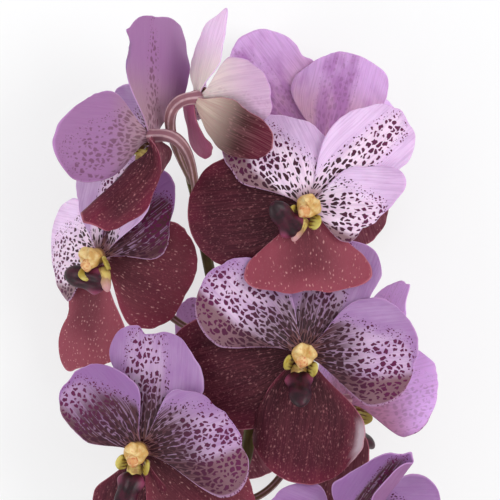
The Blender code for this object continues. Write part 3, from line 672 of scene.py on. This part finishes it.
def waxy(name, roughness):
    """A new material for the fleshy parts of the flower, and what its colours follow."""
    made, tree = living_look(name, roughness, 0.3, 0.25, (1, 0.6, 0.4))
    place = put("TexCoord", {}, tree).outputs["Object"]
    local = put("Attribute", {}, tree, attribute_name="local").outputs["Vector"]
    return made, place, put("SeparateXYZ", {0: local}).outputs


def column_look():
    """Cream at the shoulders, yellower below, brown at the foot and in the stigma hollow."""
    made, place, (_, y, z) = waxy("column_cream", 0.42)
    soft = mottle(place, 260, 3)
    body = blended(ramp(soft, 0.35, 0.65), tint(226, 200, 142), tint(196, 152, 84))
    low = blended(ramp(z, 9, 6.2), body, tint(202, 160, 92))
    dots = mottle(place, 800, 1)
    dotted = blended(ramp(dots, 0.62, 0.70, 0, 0.4), low, tint(184, 100, 52))
    foot = blended(ramp(z, 1.8, 0.2, 0, 0.85), dotted, tint(96, 56, 44))
    front = product(ramp(y, -1.5, -3.2), ramp(z, 6, 4.6))
    hollow = blended(product(front, 0.8), foot, tint(84, 42, 34))
    return finished(made, hollow, soft, 0.25, 0.4)


def cap_look():
    made, place, (_, _, z) = waxy("anther_cap_peach", 0.38)
    soft = mottle(place, 420, 2)
    body = blended(ramp(soft, 0.38, 0.62), tint(226, 188, 134), tint(204, 146, 92))
    dots = mottle(place, 1000, 0)
    dotted = blended(ramp(dots, 0.60, 0.68, 0, 0.6), body, tint(186, 84, 46))
    rim = blended(ramp(z, -0.8, -2, 0, 0.7), dotted, tint(150, 84, 52))
    return finished(made, rim)


COLUMN_LOOK, CAP_LOOK = column_look(), cap_look()
for name in BLOOMS:
    foot = shifted(0, COLUMN_OFFSET, COLUMN_FOOT)
    lean = bloom_place(name) @ foot @ rotated(COLUMN_LEAN, "X")
    cap_place = lean @ shifted(*CAP_PLACE) @ rotated(CAP_TILT, "X")
    parts = (("column_post", COLUMN_PROFILE, lean, COLUMN_LOOK, column_form),
             ("anther_cap", CAP_PROFILE, cap_place, CAP_LOOK, cap_form))
    for part, profile, place, look, form in parts:
        made = turned(f"{name}_{part}", profile, COLUMN_STEPS, place, look, form)
        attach(made, "root")
        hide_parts(name + "_column")


# The lip: the bloom's third petal, fleshy and small. Its dark maroon mid lobe swells from two shoulders
# and lies forward on a stout hollow spur, and two olive-yellow side lobes with brown stripes stand round
# the dark throat like ears.

# How each mid lobe leans and swings, how its spur swings, how far out on the spur the lobe sits, and the
# lip's size beside the others.
LIP_PLACES = {
    "bloom_01": (55, 0, 0, 4, 1), "bloom_02": (55, 0, 0, 4, 1), "bloom_03": (20, 0, 0, 7, 1),
    "bloom_04": (50, 0, 0, 4, 1), "bloom_05": (38, 20, 0, 3.5, 1), "bloom_06": (78, -98, 31, 7, 1),
    "bloom_07": (55, -95, 19, 7, 1), "bloom_08": (78, 0, 0, 7, 1), "bloom_09": (45, 0, 0, 7, 0.5),
    "bloom_10": (27, -18, 0, 7, 1),
}
LIP_OFFSET, LIP_LIFT = -5, 0.6
LOBE_PROFILE = ((0, 0), (2.2, 0.1), (3.6, 0.7), (4.8, 2.2), (5.4, 4), (5.2, 5.8), (4.6, 7.6),
                (4.4, 9.4), (4.7, 11.4), (4.7, 13.4), (4.1, 15.6), (2.8, 17.6), (1.3, 18.7), (0, 19))
LOBE_STEPS, LOBE_FLATNESS = 28, 0.58
SPUR_PROFILE = ((0, 0), (1.8, 0.1), (3, 0.6), (3.4, 1.8), (3.2, 3.6), (2.8, 5.6), (2.3, 7.6),
                (1.6, 9.6), (0.8, 10.8), (0, 11))
SPUR_DROOP = 80
EAR_PROFILE = ((0, 0), (1.8, 0.1), (2.6, 0.6), (3.1, 2), (3.4, 4), (3.1, 5.8), (2.1, 7.4), (1, 8.3), (0, 8.6))
EAR_PLACE = (3.5, -0.2, -0.2)
EAR_SPREAD, EAR_FLATNESS = 24, 0.42
THROAT_PROFILE = ((0, -1.6), (1.6, -1.4), (2.6, -0.6), (2.9, 0.2), (2.6, 0.5), (1.6, -0.1), (0, -0.4))
THROAT_PLACE = (0, 0.6, 3.2)


def lobe_form(point):
    """A furrow between two keels along the upper side, wing-like shoulders, and a tip that bends down."""
    x, y, z = point
    upper = smoothstep(0, 2.5, y)
    y -= 2.2 * upper * hump(x, 0, 0.9) * hump(z, 7, 6)
    y += 0.8 * upper * (hump(x, 1.8, 0.9) + hump(x, -1.8, 0.9)) * hump(z, 6, 5)
    x *= 1 + 0.16 * hump(z, 3.8, 1.8)
    y -= 0.035 * max(z - 11, 0) ** 2
    return Vector((x, y, z))


def ear_form(point):
    """A hollow on both faces towards a thickened rim."""
    x, y, z = point
    return Vector((x * (0.75 + 0.25 * smoothstep(1.4, 3, abs(y))), y, z))


def lobe_look():
    """Nearly black maroon, pinker on the wings and keels near the root."""
    made, place, (x, y, z) = waxy("lip_maroon", 0.4)
    soft = mottle(place, 300, 3)
    body = blended(ramp(soft, 0.35, 0.68), tint(34, 8, 18), tint(66, 14, 34))
    beside = ramp(reckon("ABSOLUTE", x), 2.4, 4.6)
    near = ramp(z, 9, 4)
    wing = product(product(beside, near), ramp(y, -1.5, 1, 0, 0.7))
    winged = blended(wing, body, tint(150, 66, 98))
    return finished(made, winged, soft, 0.35, 0.4)


def ear_look():
    """Olive yellow with brown stripes that run up from the root."""
    made, place, (_, y, z) = waxy("lip_olive_yellow", 0.4)
    soft = mottle(place, 240, 3)
    body = blended(ramp(soft, 0.35, 0.65), tint(202, 190, 104), tint(168, 148, 62))
    wave = reckon("SINE", reckon("MULTIPLY_ADD", y, 4.2, product(soft, 5)))
    inner = ramp(z, 6.8, 3.4)
    striped = blended(product(ramp(wave, 0.2, 0.7), inner), body, tint(104, 58, 34))
    return finished(made, striped)


def spur_look():
    """Yellow with brown blotches at the root, pinkish towards the tip."""
    made, place, (_, _, z) = waxy("spur_yellow", 0.4)
    soft = mottle(place, 320, 2)
    body = blended(ramp(soft, 0.42, 0.6, 0, 0.7), tint(206, 182, 104), tint(132, 84, 50))
    tip = blended(ramp(z, 4.5, 10), body, tint(190, 138, 140))
    return finished(made, tip)


def throat_look():
    made, place, _ = waxy("throat_brown", 0.5)
    soft = mottle(place, 400, 2)
    body = blended(ramp(soft, 0.4, 0.62), tint(66, 34, 28), tint(112, 64, 40))
    return finished(made, body)


LOBE_LOOK, EAR_LOOK, SPUR_LOOK, THROAT_LOOK = lobe_look(), ear_look(), spur_look(), throat_look()
for name, (droop, sway, spur_sway, lobe_along, size) in LIP_PLACES.items():
    place = bloom_place(name)
    root = shifted(0, 0, COLUMN_FOOT + LIP_LIFT)
    foot = place @ root @ rotated(spur_sway, "Z")
    foot = foot @ shifted(0, LIP_OFFSET, 0) @ Matrix.Scale(size, 4)
    spur_lean = foot @ rotated(SPUR_DROOP, "X")
    lobe_foot = spur_lean @ shifted(0, 0, lobe_along)
    swing = place.to_3x3().to_4x4() @ rotated(sway, "Z")
    forward = Matrix.Translation(lobe_foot.translation) @ swing @ rotated(droop, "X")
    forward = forward @ Matrix.Diagonal((size, LOBE_FLATNESS * size, size, 1))
    throat = spur_lean @ shifted(*THROAT_PLACE) @ rotated(-SPUR_DROOP, "X")
    parts = [("lip_mid_lobe", LOBE_PROFILE, forward, LOBE_LOOK, lobe_form),
             ("lip_spur", SPUR_PROFILE, spur_lean, SPUR_LOOK, None),
             ("lip_throat", THROAT_PROFILE, throat, THROAT_LOOK, None)]
    for word, side in (("left", -1), ("right", 1)):
        ear = foot @ shifted(side * EAR_PLACE[0], *EAR_PLACE[1:])
        ear = ear @ rotated(side * EAR_SPREAD, "Y") @ Matrix.Diagonal((EAR_FLATNESS, 1, 1, 1))
        parts.append((f"lip_{word}_side_lobe", EAR_PROFILE, ear, EAR_LOOK, ear_form))
    for part, profile, place, look, form in parts:
        made = turned(f"{name}_{part}", profile, LOBE_STEPS, place, look, form)
        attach(made, "root")
        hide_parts(name + "_lip")


# A bloom's stalk: the ribbed pink-mauve ovary with its pedicel, which bends from the flower stem up to
# the back of the bloom and flares there into the ring that the tepals grow from.

# The course of the flower stem, which every stalk joins, and how far along it each one does.
STEM_ROUTE = ((6, -185, 3.2), (6, -150, 10), (5, -110, 23), (2, -70, 38), (-2, -36, 47), (-1, -14, 50),
              (4, 8, 50), (3, 26, 50), (-6, 48, 50), (-12, 72, 50), (-16, 92, 50), (-19, 108, 50),
              (-22, 121, 50))
STEM_RADIUS_CUT, STEM_RADIUS_TIP = 3.5, 2.2
STEM_READINGS = 240
JOINS = {"bloom_01": -60, "bloom_02": -38, "bloom_03": -20, "bloom_04": -2, "bloom_05": 14, "bloom_06": 50,
         "bloom_07": 68, "bloom_08": 88, "bloom_09": 114, "bloom_10": 102}
OVARY_RADIUS, PEDICEL_RADIUS = 2.7, 1.6
PEDICEL_TOP = -3.5
PEDICEL_REACH = 13
PEDICEL_PULL, PEDICEL_RISE, PEDICEL_INTO = 0.42, 0.3, -1.2
PEDICEL_RINGS, PEDICEL_SEGMENTS = 28, 30
PEDICEL_CLEAR, PEDICEL_FOOT_RADIUS = 0.8, 2.16
PEDICEL_RIBS, PEDICEL_RIB_HEIGHT, PEDICEL_RIB_TURN = 6, 0.11, 50

# The ring that the tepals grow from: how far above the stalk's top each reading is, and its radius.
RECEPTACLE = ((4.6, 2.6), (3.2, 3.5), (1.6, 3))


def smooth_route(points, count):
    """Points read from a smooth curve through the route's own points."""
    places = [Vector(point) for point in points]
    spans = len(places) - 1
    read = []
    for step in range(count + 1):
        along = step / count * spans
        first = min(int(along), spans - 1)
        share = along - first
        start, end = places[first], places[first + 1]
        leave = (end - places[max(first - 1, 0)]) / 2
        arrive = (places[min(first + 2, spans)] - start) / 2
        passed = 3 * share ** 2 - 2 * share ** 3
        leaving = share ** 3 - 2 * share ** 2 + share
        arriving = share ** 3 - share ** 2
        read.append(start * (1 - passed) + leave * leaving + end * passed + arrive * arriving)
    return read


def stem_at(height):
    """The stem's centre where it passes a height along Y, and its heading there."""
    route = smooth_route(STEM_ROUTE, STEM_READINGS)
    nearest = min(range(1, STEM_READINGS), key=lambda index: abs(route[index].y - height))
    return route[nearest], (route[nearest + 1] - route[nearest - 1]).normalized()


def stem_radius(height):
    low, high = STEM_ROUTE[0][1], STEM_ROUTE[-1][1]
    return STEM_RADIUS_CUT + (STEM_RADIUS_TIP - STEM_RADIUS_CUT) * (height - low) / (high - low)


def joint(name):
    """Where a bloom's stalk meets the stem: the stem's centre and heading there, and the way out to it."""
    root, heading = stem_at(JOINS[name])
    out = bloom_place(name) @ Vector((0, 0, (PEDICEL_TOP - PEDICEL_REACH) * MM)) / MM - root
    return root, heading, (out - heading * out.dot(heading)).normalized()


def lofted(name, route, radii, segments, ribs, height, turn, look):
    """A tube extruded ring by ring along a route, with ribs, closed at both ends."""
    shape = bmesh.new()
    rib = shape.verts.layers.float_vector.new("rib")
    made = bmesh.ops.create_circle(shape, cap_ends=True, segments=segments, radius=1)
    rings = [made["verts"]]
    edges = [edge for edge in shape.edges]
    for _ in route[1:]:
        grown = bmesh.ops.extrude_edge_only(shape, edges=edges)["geom"]
        edges = [item for item in grown if isinstance(item, bmesh.types.BMEdge)
                 and all(vertex in grown for vertex in item.verts)]
        new = [item for item in grown if isinstance(item, bmesh.types.BMVert)]
        edges = [edge for edge in edges if all(vertex in new for vertex in edge.verts)]
        rings.append(new)
    bmesh.ops.holes_fill(shape, edges=edges)
    heading, frame_turn = Vector((0, 0, 1)), Quaternion()
    count = len(route) - 1
    for index, (ring, centre, radius) in enumerate(zip(rings, route, radii)):
        ahead = (route[min(index + 1, count)] - route[max(index - 1, 0)]).normalized()
        frame_turn = heading.rotation_difference(ahead) @ frame_turn
        heading = ahead
        for vertex in ring:
            around = atan2(vertex.co.y, vertex.co.x) + radians(turn) * index / count
            crest = 0.5 + 0.5 * cos(ribs * atan2(vertex.co.y, vertex.co.x))
            spoke = Vector((cos(around), sin(around), 0)) * radius * (1 + height * (crest - 0.5))
            vertex[rib] = (crest, index / count, around)
            vertex.co = (centre + frame_turn @ spoke) * MM
            vertex.co.z = max(vertex.co.z, 0)
    return settled(name, shape, Matrix.Identity(4), look)


def stalk_look():
    made, place, _ = waxy("stalk_mauve", 0.5)
    rib = put("Attribute", {}, made.node_tree, attribute_name="rib").outputs["Vector"]
    crest, share, _ = put("SeparateXYZ", {0: rib}).outputs
    body = blended(ramp(share, 0, 1), tint(138, 88, 102), tint(112, 88, 58))
    ribbed = blended(ramp(crest, 0.45, 1, 0, 0.8), body, tint(200, 164, 170))
    soft = mottle(place, 300, 4)
    mottled = blended(ramp(soft, 0.4, 0.65, 0, 0.35), ribbed, tint(104, 62, 74))
    return finished(made, mottled, soft, 0.2, 0.3)


STALK_LOOK = stalk_look()
for name in BLOOMS:
    place = bloom_place(name)
    start = place @ Vector((0, 0, PEDICEL_TOP * MM)) / MM
    away = (place.to_3x3() @ Vector((0, 0, -1))).normalized()
    root, heading, out = joint(name)
    leave = (out + heading * PEDICEL_RISE).normalized()
    end = root + out * (stem_radius(JOINS[name]) + PEDICEL_CLEAR)
    pull = (end - start).length * PEDICEL_PULL
    route = [start - away * above for above, radius in RECEPTACLE]
    radii = [radius for above, radius in RECEPTACLE]
    curve = interpolate_bezier(start, start + away * pull, end + leave * pull, end, PEDICEL_RINGS)
    for index, point in enumerate(curve):
        swelling = 1 - smoothstep(0, 0.8, index / (PEDICEL_RINGS - 1))
        route.append(point)
        radii.append(PEDICEL_RADIUS + (OVARY_RADIUS - PEDICEL_RADIUS) * swelling)
    route.append(root + out * (stem_radius(JOINS[name]) + PEDICEL_INTO))
    radii.append(PEDICEL_FOOT_RADIUS)
    made = lofted(name + "_stalk", route, radii, PEDICEL_SEGMENTS, PEDICEL_RIBS, PEDICEL_RIB_HEIGHT,
                  PEDICEL_RIB_TURN, STALK_LOOK)
    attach(made, "root")
    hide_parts(name + "_pedicel")


# The flower stem: an olive-green woody stalk, bare below with two papery sheath scales and cut straight
# at its end. A small pointed bract sits under each bloom's stalk.
STEM_RINGS, STEM_SEGMENTS = 120, 24
STEM_RIBS, STEM_RIB_HEIGHT, STEM_RIB_TURN = 8, 0.05, 90
NODE_SWELLING, NODE_LENGTH = 0.10, 3.0
SHEATHS = (-152, -104)
SHEATH_WALL = ((-0.5, 0), (0, 0), (0.25, 3), (0.35, 7), (0.9, 11), (0.6, 11.2), (-0.1, 7), (-0.5, 3),
               (-0.5, 0))
SHEATH_STEPS, BRACT_STEPS = 32, 16
BRACT_PROFILE = ((0, 0), (1.6, 0.2), (2.3, 1.2), (2.4, 2.4), (2, 4), (1.1, 5.6), (0.3, 6.6), (0, 6.8))
BRACT_FLATNESS, BRACT_BELOW, BRACT_SUNK, BRACT_ANGLE = 0.42, 8.2, 1, 28


def stem_look():
    made, place, _ = waxy("stem_olive", 0.5)
    long = put("VectorMath", {0: place, 1: (900, 60, 900)}, operation="MULTIPLY").outputs[0]
    fibres = mottle(long, 1, 4)
    patches = mottle(place, 60, 3)
    green = blended(ramp(patches, 0.35, 0.7), tint(110, 112, 50), tint(82, 68, 40))
    body = blended(ramp(fibres, 0.4, 0.7, 0, 0.5), green, tint(78, 66, 36))
    return finished(made, body, fibres, 0.3, 0.4)


def scale_look():
    made, place, _ = waxy("sheath_brown", 0.6)
    soft = mottle(place, 220, 4)
    body = blended(ramp(soft, 0.35, 0.65), tint(142, 128, 74), tint(108, 78, 52))
    return finished(made, body)


STEM_LOOK, SCALE_LOOK = stem_look(), scale_look()
route = smooth_route(STEM_ROUTE, STEM_RINGS)
radii = []
for point in route:
    node = max(hump(point.y, height, NODE_LENGTH) for height in JOINS.values())
    radii.append(stem_radius(point.y) * (1 + NODE_SWELLING * node))
stem = lofted("flower_stem", route, radii, STEM_SEGMENTS, STEM_RIBS, STEM_RIB_HEIGHT, STEM_RIB_TURN,
              STEM_LOOK)
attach(stem, "root")
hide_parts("stem")
for number, height in enumerate(SHEATHS):
    root, heading = stem_at(height)
    near = stem_radius(height) + 0.05
    profile = [(near + out, up) for out, up in SHEATH_WALL]
    axes = Vector((0, 0, 1)).rotation_difference(heading).to_matrix().to_4x4()
    made = turned(f"sheath_scale_{number + 1}", profile, SHEATH_STEPS, shifted(*root) @ axes, SCALE_LOOK)
    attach(made, "root")
for name in BLOOMS:
    root, heading, out = joint(name)
    lean = radians(BRACT_ANGLE)
    along = heading * cos(lean) + out * sin(lean)
    outward = out * cos(lean) - heading * sin(lean)
    foot = root - heading * BRACT_BELOW + out * (stem_radius(JOINS[name]) - BRACT_SUNK)
    axes = Matrix((outward.cross(along), outward, along)).transposed().to_4x4()
    place = shifted(*foot) @ axes @ Matrix.Diagonal((1, BRACT_FLATNESS, 1, 1))
    made = turned(name + "_bract", BRACT_PROFILE, BRACT_STEPS, place, SCALE_LOOK)
    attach(made, "root")


# The table under the flower, a plain pale studio surface that gives off a little light of its own.
FLOOR_HALF = 4.0
FLOOR_GREY, FLOOR_GLOW = 0.38, 0.58
shape = bmesh.new()
bmesh.ops.create_grid(shape, x_segments=1, y_segments=1, size=FLOOR_HALF)
mesh = bpy.data.meshes.new("floor")
shape.to_mesh(mesh)
shape.free()
floor_look = bpy.data.materials.new("floor_white")
floor_look.use_nodes = True
floor_shader = floor_look.node_tree.nodes["Principled BSDF"]
floor_shader.inputs["Base Color"].default_value = (FLOOR_GREY, FLOOR_GREY, FLOOR_GREY, 1)
floor_shader.inputs["Roughness"].default_value = 0.9
floor_shader.inputs["Specular IOR Level"].default_value = 0.1
floor_shader.inputs["Emission Color"].default_value = (1, 1, 0.99, 1)
floor_shader.inputs["Emission Strength"].default_value = FLOOR_GLOW
mesh.materials.append(floor_look)
floor = bpy.data.objects.new("floor", mesh)
bpy.context.scene.collection.objects.link(floor)


# The light: a wide soft box high on the right of the picture, a weaker one on the left, and a pale room.
LIT_POINT = Vector((0, 0.05, 0.05))
ROOM_STRENGTH = 0.75


def soft_box(name, place, size, power):
    lamp = bpy.data.lights.new(name, "AREA")
    lamp.shape = "SQUARE"
    lamp.size = size
    lamp.energy = power
    made = bpy.data.objects.new(name, lamp)
    made.location = place
    made.rotation_euler = (LIT_POINT - Vector(place)).to_track_quat("-Z", "Y").to_euler()
    bpy.context.scene.collection.objects.link(made)


soft_box("key_light", (0.9, 0.3, 1.3), 0.9, 11)
soft_box("fill_light", (-1.2, -0.5, 1.2), 1.2, 9)
room = bpy.data.worlds.new("room")
room.use_nodes = True
room.node_tree.nodes["Background"].inputs["Color"].default_value = (0.95, 0.96, 1, 1)
room.node_tree.nodes["Background"].inputs["Strength"].default_value = ROOM_STRENGTH
bpy.context.scene.world = room
bpy.context.scene.view_settings.view_transform = "Standard"


# The camera looks straight down on the flower, from a little above arm's length.
CAMERA_PLACE = (0.004, 0.085, 1.25)
SENSOR_WIDTH, LENS_LENGTH = 36, 205.7
camera = bpy.data.cameras.new("camera")
camera.sensor_width = SENSOR_WIDTH
camera.lens = LENS_LENGTH
holder = bpy.data.objects.new("camera", camera)
holder.location = CAMERA_PLACE
bpy.context.scene.collection.objects.link(holder)
bpy.context.scene.camera = holder
